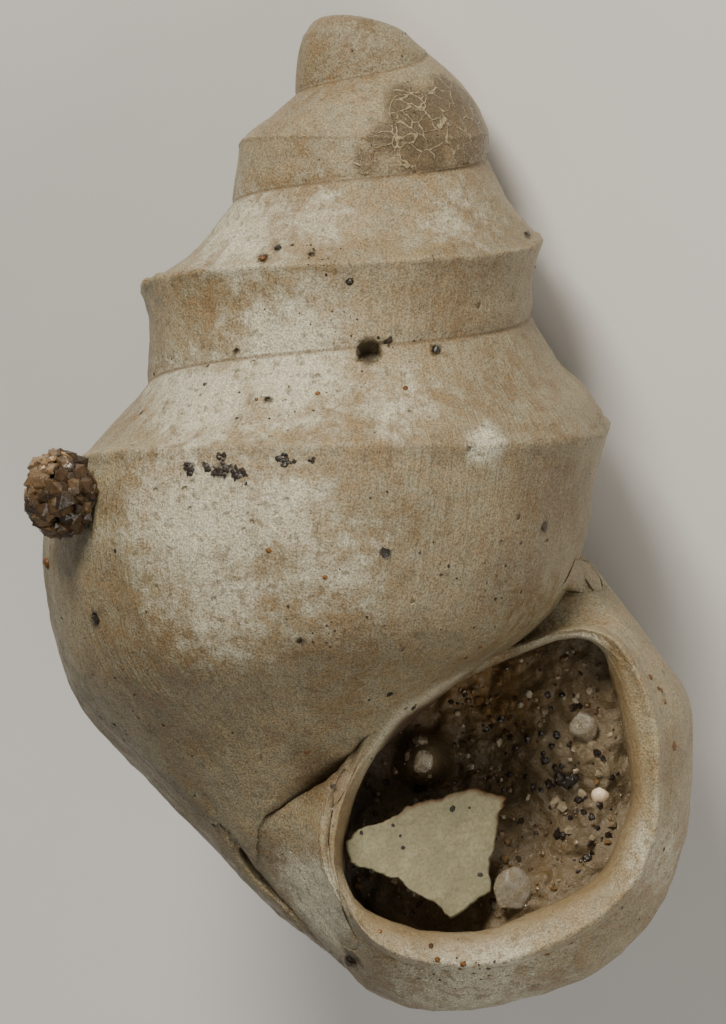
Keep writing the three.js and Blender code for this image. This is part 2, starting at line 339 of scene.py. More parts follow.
def finished(name, mesh, slot, material, *nodes, smooth=True):
    # a piece in the row frame, riding on the root body, worn flat where it lies on the floor
    rows = toRow(pointsOf(mesh))
    rows[:, 2] = np.maximum(rows[:, 2], cadBox[0][2])
    setPoints(mesh, rows)
    if signedVolume(mesh) < 0:
        mesh.flip_normals()
    mesh.name = name
    mesh.materials.clear()
    mesh.materials.append(material)
    mesh.shade_smooth() if smooth else mesh.shade_flat()
    piece = objectOf(mesh)
    piece.name = name
    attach(piece, "root")
    if nodes:
        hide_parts(*nodes)
    print(name, "made with", len(mesh.polygons), "faces")
    return piece


def earlierWhorls():
    # the strip of surface from suture to suture, welded to itself one turn on, down to the navel
    # on its last turn, closed by fans at the tip, in the navel and at its end
    count = round((coil["bodyTurn"] - coil["firstTurn"]) * coil["steps"])
    turns = coil["firstTurn"] + np.arange(count + 1) / coil["steps"]
    points = displaced(swept(outlines(sections(turns)), turns), turns)
    points[:, 0] *= 1 - coil["suture"] / np.linalg.norm(points[:, 0], axis=-1, keepdims=True) * [1, 0, 1]
    index = np.arange(points[..., 0].size).reshape(points.shape[:2])
    steps = coil["steps"]
    index[:-steps, edgeRow] = index[steps:, 0]
    flatPoints = points.reshape(-1, 3)
    tip, navel, end = len(flatPoints) + np.arange(3)
    ending = flatPoints[np.concatenate([index[-1, :navelRow + 1], index[-1 - steps, edgeRow:navelRow]])]
    flatPoints = np.concatenate([flatPoints, [[0, -0.015, 0], [0, -coil["axisDepth"], 0], ending.mean(axis=0)]])
    spire = quads(index[:-steps, :edgeRow + 1])
    body = quads(index[-1 - steps:, :navelRow + 1])
    top = fan(np.concatenate([index[0, :edgeRow + 1][::-1], index[:steps + 1, 0]]), tip)
    navelFan = fan(index[-1 - steps:, navelRow][::-1], navel)
    loop = np.concatenate([index[-1, :navelRow + 1], [navel], index[-1 - steps, edgeRow:navelRow + 1][::-1]])
    # painted shade in the suture crease, darkest right at the suture
    nearSuture = bump(across, 0, .16)
    crease = np.concatenate([np.tile(nearSuture, len(turns)), [0, 0, 0]])
    return meshOf("earlier", flatPoints, spire, body, top, navelFan, fan(loop, end), crease=crease,
                  outer=0 * crease)


mouth = {"height": 0.155, "shoulder": 0.118, "throatHeight": 0.105, "neckCurve": 1.9, "neckTurn": 0.45,
         "lip": [(0.00, 0.130), (0.04, 0.142), (0.09, 0.150), (0.15, 0.1540), (0.22, 0.1545), (0.30, 0.152),
                 (0.40, 0.1475), (0.52, 0.1445), (0.64, 0.142), (0.76, 0.137), (0.87, 0.129), (0.95, 0.118),
                 (1.00, 0.105)]}
rim = np.array([[(.300, .676), (.362, .752), (.392, .800), (.408, .850), (.416, .935), (.408, .998),
                 (.376, 1.062), (.300, 1.122), (.185, 1.158), (.060, 1.125), (-.012, .975), (.100, .820)]])
throat = np.array([[(.300, .712), (.328, .753), (.351, .822), (.366, .874), (.374, .925), (.366, .969),
                    (.345, 1.024), (.285, 1.068), (.180, 1.112), (.061, 1.090), (.028, .990), (.112, .825)]])


def cornerSoft(rings):    # the outline averaged with its neighbours over the upper corner, several times
    near = (ease(across, 10.8, 11.6) + ease(across, 2.2, .8))[None, :, None]
    for _ in range(24):
        rings = rings + near * ((np.roll(rings, 1, axis=1) + np.roll(rings, -1, axis=1)) / 2 - rings)
    return rings


def bodySide():    # how far the lip stands up, by line: low where the body whorl closes the mouth
    return 1 - .55 * ease(across, 10.3, 11.2) * ease(across, 12.0, 11.7) - .30 * ease(across, 11.4, 12) \
        - .30 * ease(across, .9, 0)


def sunk(rings, turns):
    # before the body's end the outline lies just inside it, and its navel side grows out of its middle
    inset = 0.004 * ease(coil["bodyTurn"] - turns, 0, 0.03)[:, None, None]
    rings = shrunk(rings, inset)
    grown = 0.3 + 0.7 * ease(turns, coil["tubeStart"], coil["grownTurn"])[:, None]
    side = (ease(across, 8.2, 9.6) * ease(across, 12.0, 11.2))[None, :]
    share = 1 - (1 - grown) * side
    middle = rings.mean(axis=1, keepdims=True)
    return middle + (rings - middle) * share[..., None]


def lastWhorl():
    # a tube of wall: out along the last whorl and the neck, over the lip, back in down the throat, closed
    # by a fan at each end
    start, stop = coil["tubeStart"], coil["lastTurn"]
    turns = np.linspace(start, stop, round((stop - start) * coil["steps"]) + 1)
    outer = swept(sunk(outlines(sections(turns)), turns), turns)
    lastSection = sections(np.array([stop]))
    heights = np.linspace(0, mouth["shoulder"], 26)[1:]
    share = (heights / mouth["height"]) ** mouth["neckCurve"]
    share = np.minimum(share / share[-1], 1)[:, None, None]
    neck = flat(cornerSoft(outlines(lastSection * (1 - share) + rim * share)), heights)
    neck[..., 2] *= 1 + (bodySide() - 1) * (heights / mouth["shoulder"])[:, None]
    outside = displaced(np.concatenate([outer, neck]), np.concatenate([turns, stop + heights * mouth["neckTurn"]]))
    lip = np.array(mouth["lip"])
    inward = lip[:, :1, None]
    edge = flat(cornerSoft(outlines(rim * (1 - inward) + throat * inward)), lip[:, 1])
    edge[..., 2] *= bodySide()
    down = np.linspace(mouth["throatHeight"], 0, 12)[1:]
    mix = (down / mouth["throatHeight"])[:, None, None]
    inner = shrunk(outlines(lastSection), coil["wall"])
    pipe = flat(inner * (1 - mix) + cornerSoft(outlines(throat)) * mix, down)
    pipe[..., 2] *= 1 + (bodySide() - 1) * mix[..., 0]
    edge += (0.0024 * fractal(edge, 0.045, 3, 61) + 0.0009 * fractal(edge, 0.010, 2, 62))[..., None]
    back = np.linspace(stop, coil["hollowTurn"], 34)[1:]
    hollow = swept(shrunk(outlines(sections(back)), coil["wall"]), back)
    points = np.concatenate([outside, edge, pipe, hollow])
    index = np.arange(points[..., 0].size).reshape(points.shape[:2])
    closed = np.concatenate([index, index[:, :1]], axis=1)
    first, last = index.size, index.size + 1
    ends = [points[0].mean(axis=0), points[-1].mean(axis=0)]
    points = np.concatenate([points.reshape(-1, 3), ends])
    outer = (np.arange(len(points)) < outside[..., 0].size) * 1.0
    return meshOf("last", points, quads(closed), fan(closed[0][::-1], first), fan(closed[-1], last),
                  crease=0 * outer, outer=outer)


def mouthEdge(points):    # how far inside the mouth's inner edge a point lies, seen from the front, in mm
    angle = np.arctan2(-points[:, 1] - .93, points[:, 0] - .2)
    edge = cornerSoft(outlines(throat))[0] - [.2, .93]
    turns = np.arctan2(edge[:, 1], edge[:, 0])
    order = np.argsort(turns)
    radius = np.interp(angle, turns[order], np.hypot(*edge[order].T), period=2 * np.pi)
    return radius - np.hypot(points[:, 0] - .2, -points[:, 1] - .93)


def bodyWall(points):    # 1 near the mouth's upper left side, where the body whorl closes it
    off = ((points[:, 0] - .30) * .72 + (-points[:, 1] - .70) * .69)    # past the chord from corner to columella
    return ease(off, .09, .04) * ease(points[:, 0], .02, .06)


# painted shade on the walls down in the mouth
def mouthShadeOf(points):    # 1 down in the mouth behind the lip, 0 elsewhere
    top = .100 + .170 * bodyWall(points)
    return ease(mouthEdge(points), -.001, .006) * ease(points[:, 2] - top, .012, -.012) \
        * ease(points[:, 2], -.3, -.2)


# Sheets that close the chink and the upper corner: two long sides each, as (right of the axis, depth).
sheets = [([(-0.132, 1.017), (-0.076, 1.07), (-0.03, 1.109), (0.009, 1.143), (0.051, 1.173)],
           [(0.03, 0.908), (0.016, 0.943), (0.017, 0.999), (0.023, 1.047), (0.034, 1.096), (0.064, 1.143)]),
          ([(0.283, 0.643), (0.276, 0.661), (0.264, 0.684)], [(0.304, 0.644), (0.319, 0.667), (0.326, 0.691)])]
sheet = {"rows": 50, "columns": 36, "rounds": 500, "under": .012, "edge": .003}
# (right of the axis, depth, radius, share), where the joins are softened
softSpots = [(-.060, 1.040, .060, 1), (-.040, .975, .055, 1), (-.010, .930, .045, 1), (.000, .885, .030, .8),
             (.300, .690, .040, .5), (.235, .735, .035, .5), (.165, .785, .035, .5), (.110, .840, .030, .5),
             (-.015, 1.110, .055, 1), (.443, .800, .045, .5),
             (-.095, 1.050, .050, 1), (.010, 1.150, .045, 1), (.285, .660, .035, .6)]


def sheetMesh(tree, ends):
    # heights z0 under a grid between the two sides; inside its border the sheet is relaxed to
    # max(z0 - edge, mean of the four neighbours), so that it spans the furrows; closed a little way under z0
    u, v = np.linspace(0, 1, sheet["rows"]), np.linspace(0, 1, sheet["columns"])[None, :, None]
    sides = [np.stack([np.interp(u, np.linspace(0, 1, len(side)), np.array(side)[:, k]) for k in (0, 1)], -1)[:, None]
             for side in ends]
    places = sides[0] * (1 - v) + sides[1] * v
    hits, _, found = onTree(tree, places.reshape(-1, 2))
    ground = np.full(len(found), -.05)
    ground[found] = hits[:, 2]
    ground = ground.reshape(places.shape[:2])
    height = ground - sheet["edge"]
    for _ in range(sheet["rounds"]):
        mean = (height[:-2, 1:-1] + height[2:, 1:-1] + height[1:-1, :-2] + height[1:-1, 2:]) / 4
        height[1:-1, 1:-1] = np.maximum(ground[1:-1, 1:-1] - sheet["edge"], mean)
    x, y = places[..., 0], -places[..., 1]
    height += .0022 * fractal(np.stack([x, y, 0 * x], -1), .04, 3, 67) * (height > ground)
    top = np.stack([x, y, height], axis=-1)
    under = np.stack([x, y, np.minimum(height, ground) - sheet["under"]], axis=-1)
    index = np.arange(2 * x.size).reshape(2, *x.shape)
    rim = [np.concatenate([part[0], part[1:, -1], part[-1, -2::-1], part[-2::-1, 0]]) for part in index]
    points = np.concatenate([top.reshape(-1, 3), under.reshape(-1, 3)])
    return meshOf("sheet", points, quads(index[0])[:, ::-1], quads(index[1]), quads(np.stack(rim)),
                  crease=np.zeros(len(points)), outer=np.zeros(len(points)))


def relaxed(mesh, rounds):
    # in front, near the soft spots, each point moves to the mean of its neighbours again and again, by
    # exp(-(distance / radius)^4); then the grain comes back along the normals
    points = pointsOf(mesh)
    edges = np.empty(2 * len(mesh.edges), np.int32)
    mesh.edges.foreach_get("vertices", edges)
    spots = np.array(softSpots)
    far = np.linalg.norm(points[:, None, :2] - (spots[:, :2] * (1, -1))[None], axis=-1) / spots[:, 2]
    share = (np.exp(-far**4) * spots[:, 3]).max(axis=1) * ease(points[:, 2], -.16, -.08)
    share *= 1 - ease(mouthEdge(points), -.035, -.010)
    one, other = edges.reshape(-1, 2).T
    near = (share[one] > .01) | (share[other] > .01)
    used, packed = np.unique(np.stack([one[near], other[near]]), return_inverse=True)
    one, other = packed.reshape(2, -1)
    moving, weight = points[used], share[used][:, None]
    count = np.bincount(one, minlength=len(used)) + np.bincount(other, minlength=len(used))
    for _ in range(rounds):
        total = [np.bincount(one, moving[other, k], len(used)) + np.bincount(other, moving[one, k], len(used))
                 for k in range(3)]
        moving = moving + weight * (np.stack(total, axis=-1) / count[:, None] - moving)
    points[used] = moving
    setPoints(mesh, points)
    normals = np.empty(3 * len(points), np.float32)
    mesh.vertex_normals.foreach_get("vector", normals)
    rough = .0016 * fractal(points, .030, 3, 65) + .0009 * fractal(points, .010, 2, 66)
    setPoints(mesh, points + (share * rough)[:, None] * normals.reshape(-1, 3))


def turnedTo(normals):    # for each normal, a frame of two sideways directions and the normal
    helper = np.where(np.abs(normals[:, :1]) < 0.8, [[1.0, 0, 0]], [[0, 1.0, 0]])
    side = np.cross(helper, normals)
    side /= np.linalg.norm(side, axis=-1, keepdims=True)
    return np.stack([side, np.cross(normals, side), normals], axis=-1)


def funnels(places, normals, radii, depths, seed):
    # tapered plugs to cut pits with: irregular rings from above the surface down to a small floor
    rng = np.random.default_rng(seed)
    sides = 10
    angle = np.arange(sides) / sides * 2 * np.pi
    levels = np.array([(1.12, 0.6), (1.0, 0.0), (0.92, -0.55), (0.70, -0.90), (0.3, -1.0)])
    wobble = 1 + 0.32 * (rng.random((len(places), 1, sides)) - 0.5)
    r = radii[:, None, None] * levels[None, :, :1] * wobble
    z = depths[:, None, None] * levels[None, :, 1:] * np.ones(sides)
    local = np.stack([r * np.cos(angle), r * np.sin(angle), z], axis=-1)
    frames = turnedTo(normals)
    points = np.einsum("nij,nklj->nkli", frames, local) + places[:, None, None]
    centres = np.stack([points[:, 0].mean(axis=1), points[:, -1].mean(axis=1)], axis=1)
    count = len(levels) * sides + 2
    index = np.arange(len(levels) * sides).reshape(len(levels), sides)
    closed = np.concatenate([index, index[:, :1]], axis=1)
    lower = quads(closed)[:, ::-1]
    caps = np.concatenate([fan(closed[0], count - 2), fan(closed[-1][::-1], count - 1)])
    shift = (np.arange(len(places)) * count)[:, None, None]
    everything = np.concatenate([points.reshape(len(places), -1, 3), centres], axis=1).reshape(-1, 3)
    return meshOf("funnels", everything, (lower + shift).reshape(-1, 4), (caps + shift).reshape(-1, 3))


pits = {    # (right of the axis, depth, radius, how deep), in mm
    "named": [(.012, .411, .0165, .034), (-.109, .293, .0045, .008), (-.126, .307, .006, .006),
              (-.018, .328, .0045, .008), (.094, .402, .0055, .006), (.052, .654, .0045, .007),
              (.242, .607, .0045, .006), (-.296, .762, .0060, .008), (.194, .252, .0045, .006),
              (-.149, .423, .0035, .004), (-.107, .479, .0042, .005), (-.067, .298, .0035, .004),
              (.049, 1.156, .0085, .004), (.031, .398, .003, .004), (-.045, .770, .004, .005)],
    "scattered": 110, "chalky": 110, "radius": (.0016, .0042), "apart": .012, "seed": 71,
}


def landing(tree, x, depth):    # where a line of sight meets the shell, and the normal there
    spot, normal, _, _ = tree.ray_cast(Vector((x, -depth, 1)), Vector((0, 0, -1)))
    return (spot, normal) if spot else None


def onTree(tree, rows):    # places and normals under (x, depth), and which of them were hit
    hits = [landing(tree, row[0], row[1]) for row in rows]
    found = np.array([hit is not None for hit in hits])
    good = [hit for hit in hits if hit]
    return np.array([hit[0] for hit in good]), np.array([hit[1] for hit in good]), found


def outsideSpots(mesh, count, seed):    # random places on the mesh, by area, with their normals
    rng = np.random.default_rng(seed)
    area, centre, normal = (np.empty(len(mesh.polygons) * width, np.float32) for width in (1, 3, 3))
    mesh.polygons.foreach_get("area", area)
    mesh.polygons.foreach_get("center", centre)
    mesh.polygons.foreach_get("normal", normal)
    chosen = rng.choice(len(area), count, replace=False, p=area.astype(float) / area.sum(dtype=float))
    return centre.reshape(-1, 3)[chosen].astype(float), normal.reshape(-1, 3)[chosen].astype(float)


def spread(places, apart):    # which places keep their distance from all the earlier ones
    far = np.linalg.norm(places[:, None] - places[None], axis=-1)
    return ~(np.tril(far < apart, -1)).any(axis=1)


def treeOf(mesh):
    holder = objectOf(mesh)
    tree = BVHTree.FromObject(holder, bpy.context.evaluated_depsgraph_get())
    bpy.data.objects.remove(holder)
    return tree


def pitted(mesh):    # the named pits from the front, then smaller ones everywhere, most of them in the chalk
    hits = [landing(shellTree, x, depth) for x, depth, _, _ in pits["named"]]
    places = np.array([hit[0] for hit in hits])
    normals = np.array([hit[1] for hit in hits])
    sizes = np.array(pits["named"])[:, 2:]
    rng = np.random.default_rng(pits["seed"])
    some, facing = outsideSpots(mesh, 1500, pits["seed"])
    chalk = regionOf("chalk", some)
    order = np.argsort(-(chalk * (some[:, 2] > 0) + 0.35 * rng.random(len(some))))
    chosen = np.concatenate([order[:pits["chalky"]], rng.choice(len(some), pits["scattered"], replace=False)])
    inMouth = (np.hypot(some[chosen, 0] - .2, some[chosen, 1] + .93) < .24) & (some[chosen, 2] < .16)
    chosen = chosen[~(inMouth & (some[chosen, 2] > -.25))]
    places = np.concatenate([places, some[chosen]])
    normals = np.concatenate([normals, facing[chosen]])
    low, high = pits["radius"]
    radii = low + (high - low) * rng.random(len(chosen)) ** 2
    sizes = np.concatenate([sizes, np.stack([radii, radii * 1.1], axis=-1)])
    keep = spread(places, pits["apart"])
    cutters = funnels(places[keep], normals[keep], sizes[keep, 0], sizes[keep, 1], pits["seed"])
    return combined(mesh, cutters, "DIFFERENCE")


def node(tree, kind, links=None, **settings):    # a node with its settings, and its inputs linked or set
    made = tree.nodes.new("ShaderNode" + kind)
    for key, value in settings.items():
        setattr(made, key, value)
    for key, value in (links or {}).items():
        if isinstance(value, bpy.types.NodeSocket):
            tree.links.new(value, made.inputs[key])
        else:
            made.inputs[key].default_value = value
    return made


def startMaterial(name, **fixed):    # a material with its fixed shader values, its tree and its shader
    material = bpy.data.materials.new(name)
    material.use_nodes = True
    shader = material.node_tree.nodes["Principled BSDF"]
    for key, value in fixed.items():
        shader.inputs[key.replace("_", " ")].default_value = value
    return material, material.node_tree, shader


def millimetres(tree):    # Object coordinates, brought to mm
    place = node(tree, "TexCoord").outputs["Object"]
    return node(tree, "VectorMath", {0: place, "Scale": 1000}, operation="SCALE").outputs[0]


def noise(tree, place, scale, detail=4, rough=0.6, bend=0.0):
    return node(tree, "TexNoise", {"Vector": place, "Scale": scale, "Detail": detail, "Roughness": rough,
                                   "Distortion": bend}).outputs["Fac"]


def between(tree, value, low, high, start=0.0, end=1.0):    # a smooth step of a value
    return node(tree, "MapRange", {"Value": value, "From Min": low, "From Max": high, "To Min": start,
                                   "To Max": end}, interpolation_type="SMOOTHSTEP").outputs["Result"]


def math(tree, operation, first, second):
    return node(tree, "Math", {0: first, 1: second}, operation=operation).outputs[0]


def blend(tree, share, first, second, how="MIX"):
    made = node(tree, "Mix", data_type="RGBA", blend_type=how)
    for key, value in ((0, share), (6, first), (7, second)):
        if isinstance(value, bpy.types.NodeSocket):
            tree.links.new(value, made.inputs[key])
        else:
            made.inputs[key].default_value = value if key == 0 else (*value, 1)
    return made.outputs[2]


def attribute(tree, name, output="Fac"):
    return node(tree, "Attribute", attribute_name=name).outputs[output]


def bumped(tree, shader, height, distance, strength=1.0):    # distance in metres
    made = node(tree, "Bump", {"Height": height, "Distance": distance, "Strength": strength})
    tree.links.new(made.outputs["Normal"], shader.inputs["Normal"])


# painted shade: dusk, pit, inside and in part stain; painted highlight: in part chalk
shellPaint = {"beige": (.385, .305, .18), "warm": (.295, .205, .105), "chalk": (.68, .635, .485), "grey": (.305, .29, .205),
              "stain": (.17, .105, .045), "glass": (.090, .058, .025), "crack": (.50, .41, .25),
              "soot": (.035, .028, .022), "mouthShade": (.085, .052, .032), "ochre": (.24, .165, .078),
              "pitShade": (.040, .026, .010), "dusk": (.155, .103, .045), "bumpDistance": 3.0e-6}


def shellMaterial():
    # beige, mottled with warm and grey; chalk (partly painted highlight) and stain (partly painted shade)
    # where the regions say; painted shade on the right and low down, along the sutures, in the named pits and
    # down in the mouth; glassy brown crossed by pale cracks near the tip, and growth lines that follow the whorl
    material, tree, shader = startMaterial("weathered shell", Subsurface_Weight=0.18, Subsurface_Scale=2.2e-5,
                                           Specular_IOR_Level=0.45)
    shader.inputs["Subsurface Radius"].default_value = (1, 0.65, 0.4)
    place = millimetres(tree)
    broad, middling = noise(tree, place, 9, 3), noise(tree, place, 42, 5, 0.65)
    fine, finest = noise(tree, place, 150, 4, 0.75), noise(tree, place, 420, 2, 0.6)
    flow = attribute(tree, "flow", "Vector")
    along = node(tree, "VectorMath", {0: flow, 1: (44, 6, 44)}, operation="MULTIPLY").outputs[0]
    growth = noise(tree, along, 1, 4, 0.6, 0.4)
    color = blend(tree, between(tree, broad, .38, .62), shellPaint["beige"], shellPaint["warm"])
    # painted shade where the dusk region says
    dusk = math(tree, "MULTIPLY", attribute(tree, "dusk"), between(tree, middling, .25, .60, .95, .55))
    color = blend(tree, dusk, color, shellPaint["dusk"])
    color = blend(tree, between(tree, middling, .40, .62, 0, .55), color, shellPaint["grey"])
    # chalky white wear, partly painted highlight where the chalk region says
    chalk = math(tree, "ADD", attribute(tree, "chalk"), math(tree, "MULTIPLY", middling, 1.3))
    color = blend(tree, between(tree, chalk, .80, 1.45), color, shellPaint["chalk"])
    # brown stains, partly painted shade on the right, on the base and beside the stuck lump
    stain = math(tree, "ADD", attribute(tree, "stain"), math(tree, "MULTIPLY", middling, 1.1))
    color = blend(tree, between(tree, stain, .90, 1.70, 0, .70), color, shellPaint["stain"])
    spots = noise(tree, place, 75, 2, 0.5)
    color = blend(tree, between(tree, spots, .58, .68, 0, .50), color, shellPaint["stain"])
    color = blend(tree, between(tree, fine, .50, .66, 0, .50), color, shellPaint["grey"])
    color = blend(tree, between(tree, fine, .42, .30, 0, .55), color, shellPaint["stain"])
    glassy = between(tree, math(tree, "ADD", attribute(tree, "glassy"), math(tree, "MULTIPLY", middling, .55)),
                     .62, .95)
    bend = node(tree, "VectorMath", {0: node(tree, "TexNoise", {"Vector": place, "Scale": 30, "Detail": 2})
                                     .outputs["Color"], "Scale": .03}, operation="SCALE").outputs[0]
    bent = node(tree, "VectorMath", {0: place, 1: bend}, operation="ADD").outputs[0]
    cracks = node(tree, "TexVoronoi", {"Vector": bent, "Scale": 44}, feature="DISTANCE_TO_EDGE").outputs["Distance"]
    crack = between(tree, cracks, .060, .015)
    web = blend(tree, math(tree, "MULTIPLY", crack, between(tree, middling, .34, .55, .15, .8)),
                shellPaint["glass"], shellPaint["crack"])
    web = blend(tree, between(tree, broad, .42, .58, 0, .3), web, shellPaint["warm"])
    color = blend(tree, math(tree, "MULTIPLY", glassy, .85), color, web)
    soot = math(tree, "ADD", attribute(tree, "soot"), math(tree, "MULTIPLY", fine, 1.2))
    color = blend(tree, between(tree, soot, 1.12, 1.40, 0, .60), color, shellPaint["soot"])
    color = blend(tree, between(tree, growth, .35, .65, .90, 1), shellPaint["stain"], color)
    # painted shade along the sutures, in the stain colour
    crease = math(tree, "ADD", attribute(tree, "crease"), math(tree, "MULTIPLY", middling, .5))
    color = blend(tree, between(tree, crease, .75, 1.2, 0, .65), color, shellPaint["stain"])
    color = blend(tree, math(tree, "MULTIPLY", attribute(tree, "callus"), .7), color, shellPaint["chalk"])
    color = blend(tree, 1, color, between(tree, finest, .30, .68, .52, 1.20), "MULTIPLY")
    slope = math(tree, "MULTIPLY", attribute(tree, "slope"), between(tree, middling, .34, .58, .12, .85))
    hidden = math(tree, "SUBTRACT", 1, attribute(tree, "outer"))
    color = blend(tree, math(tree, "MULTIPLY", slope, hidden), color, shellPaint["ochre"])
    # painted shade inside the named pits
    color = blend(tree, math(tree, "MULTIPLY", attribute(tree, "pitShade"), .93), color, shellPaint["pitShade"])
    # painted shade on the walls down in the mouth, not on the outer surface
    color = blend(tree, math(tree, "MULTIPLY", attribute(tree, "mouthShade"), hidden), color, shellPaint["mouthShade"])
    tree.links.new(color, shader.inputs["Base Color"])
    dull = math(tree, "ADD", between(tree, middling, .3, .7, .30, .58),
                math(tree, "MULTIPLY", glassy, -.20))
    tree.links.new(dull, shader.inputs["Roughness"])
    lines = math(tree, "MULTIPLY", growth, attribute(tree, "lined"))
    pores = math(tree, "MULTIPLY", math(tree, "ADD", fine, math(tree, "MULTIPLY", finest, .35)),
                 between(tree, attribute(tree, "chalk"), 0, .8, .6, 1.3))
    height = math(tree, "ADD", math(tree, "ADD", lines, pores), math(tree, "MULTIPLY", crack, glassy))
    bumped(tree, shader, height, shellPaint["bumpDistance"])
    return material


shellMesh = combined(earlierWhorls(), lastWhorl(), "UNION")
for ends in sheets:
    shellMesh = combined(shellMesh, sheetMesh(treeOf(shellMesh), ends), "UNION")
relaxed(shellMesh, 36)
shellTree = treeOf(shellMesh)
shellMesh = pitted(shellMesh)
shellPoints = pointsOf(shellMesh)
reach = np.maximum(np.hypot(shellPoints[:, 0], shellPoints[:, 2]), .005)
setValues(shellMesh, "flow", np.stack([shellPoints[:, 0] / reach, shellPoints[:, 1], shellPoints[:, 2] / reach], -1))
for region in patches:
    setValues(shellMesh, region, regionOf(region, shellPoints))
# painted shade on the walls down in the mouth
setValues(shellMesh, "mouthShade", mouthShadeOf(shellPoints))
named = np.array(pits["named"])
offPit = np.linalg.norm(shellPoints[:, None, :2] - (named[:, :2] * (1, -1))[None], axis=-1) / named[:, 2]
# painted shade inside the named pits
setValues(shellMesh, "pitShade", ease(offPit.min(axis=1), 1.08, .90) * ease(shellPoints[:, 2], -.02, .02))
setValues(shellMesh, "slope", ease(mouthEdge(shellPoints), -.034, -.004) * ease(shellPoints[:, 2], .05, .08)
          * (1 - bodyWall(shellPoints)))
setValues(shellMesh, "callus", bump(mouthEdge(shellPoints), -.005, .006) * bodyWall(shellPoints)
          * ease(shellPoints[:, 2], .06, .12))
setValues(shellMesh, "lined", 0.3 + 1.0 * ease(reach, .15, .33))
strewn = outsideSpots(shellMesh, 420, 90)
finished("shell_surface", shellMesh, "shell", shellMaterial(), "shell")
fill = {"low": -.045, "lumps": .011, "rows": 120, "sides": 280, "middle": (.195, .915), "over": .010,
        # where something lies the silt comes up under it: (right of the axis, depth, radius)
        "mounds": [(.118, .905, .030), (.310, .849, .034), (.338, .930, .030), (.240, 1.056, .036),
                   (.200, 1.000, .050)], "moundHeight": .028}


def fillHeight(x, depth):
    # a bowl, deep at the upper left, that rises to the right and the bottom, and noise in three sizes;
    # where a grain lies it is mixed with the grain's foot by exp(-(distance / radius)^4)
    points = np.stack([x, -depth, 0 * x], axis=-1)
    slope = .018 + .060 * ease(x, .17, .36) + .040 * ease(depth, .93, 1.09) * ease(x, .12, .25)
    hollow = fill["low"] * bump(x, .155, .085) * bump(depth, .87, .10)
    front = -.030 * bump(x, .215, .035) * bump(depth, .98, .06)
    lumps = fill["lumps"] * fractal(points, .055, 3, 81) + .0045 * fractal(points, .018, 2, 82)
    height = -.028 + slope + hollow + front + lumps + .0022 * fractal(points, .008, 2, 83)
    for moundX, moundDepth, radius in fill["mounds"]:
        near = np.exp(-(((x - moundX)**2 + (depth - moundDepth)**2) / radius**2)**2)
        height = height + near * (fill["moundHeight"] - height) * (height < fill["moundHeight"])
    return height


def fillOutline():    # the inner wall at the face's height, a little way into the wall
    inner = shrunk(outlines(sections(np.array([coil["lastTurn"]]))), coil["wall"])
    share = .03 / mouth["throatHeight"]
    return shrunk(inner * (1 - share) + outlines(throat) * share, -fill["over"])[0]


def sedimentMesh():    # rings from the middle out to the wall; the same rings below close it
    outline = fillOutline()
    closed = np.concatenate([outline, outline[:1]])
    steps = np.concatenate([[0], np.cumsum(np.linalg.norm(np.diff(closed, axis=0), axis=-1))])
    along = np.linspace(0, steps[-1], fill["sides"], endpoint=False)
    edge = np.stack([np.interp(along, steps, closed[:, k]) for k in (0, 1)], axis=-1)
    share = np.linspace(0, 1, fill["rows"] + 1)[1:, None, None]
    middle = np.array(fill["middle"])
    rings = middle + (edge - middle) * share
    top = np.stack([rings[..., 0], -rings[..., 1], fillHeight(rings[..., 0], rings[..., 1])], axis=-1)
    under = np.stack([rings[::-4, :, 0], -rings[::-4, :, 1], 0 * rings[::-4, :, 0] - .15], axis=-1)
    points = np.concatenate([top, under])
    index = np.arange(points[..., 0].size).reshape(points.shape[:2])
    closedIndex = np.concatenate([index, index[:, :1]], axis=1)
    centres = np.array([[middle[0], -middle[1], fillHeight(*middle[:, None])[0]], [middle[0], -middle[1], -.15]])
    return meshOf("fill", np.concatenate([points.reshape(-1, 3), centres]), quads(closedIndex)[:, ::-1],
                  fan(closedIndex[0], index.size), fan(closedIndex[-1][::-1], index.size + 1))


# dark: painted shade where the silt's dark values say, and small dark specks
soil = {"brown": (.13, .082, .032), "ochre": (.145, .105, .055), "amber": (.20, .095, .014), "dark": (.040, .026, .011),
        "haze": (.20, .155, .09), "bumpDistance": 2.4e-6}


def soilMaterial():
    # brown silt mottled with ochre, amber at the upper left, painted shade in the hollow, hazy grey-brown on top
    material, tree, shader = startMaterial("damp silt", Specular_IOR_Level=0.55)
    place = millimetres(tree)
    broad, middling, fine = noise(tree, place, 16, 4), noise(tree, place, 60, 5, .7), noise(tree, place, 210, 3, .7)
    color = blend(tree, between(tree, middling, .36, .66), soil["brown"], soil["ochre"])
    color = blend(tree, between(tree, broad, .45, .62, 0, .55), color, soil["haze"])
    amber = math(tree, "MULTIPLY", attribute(tree, "amber"), between(tree, middling, .36, .6))
    color = blend(tree, amber, color, soil["amber"])
    wall = math(tree, "MULTIPLY", attribute(tree, "ochre"), between(tree, middling, .30, .60, .3, 1))
    color = blend(tree, wall, color, soil["ochre"])
    # painted shade where the dark values say
    shade = math(tree, "MULTIPLY", attribute(tree, "dark"), between(tree, broad, .7, .3, .6, 1))
    color = blend(tree, shade, color, soil["dark"])
    color = blend(tree, between(tree, fine, .60, .72, 0, .8), color, soil["dark"])
    tree.links.new(color, shader.inputs["Base Color"])
    tree.links.new(between(tree, fine, .3, .7, .22, .75), shader.inputs["Roughness"])
    bumped(tree, shader, math(tree, "ADD", fine, middling), soil["bumpDistance"])
    return material


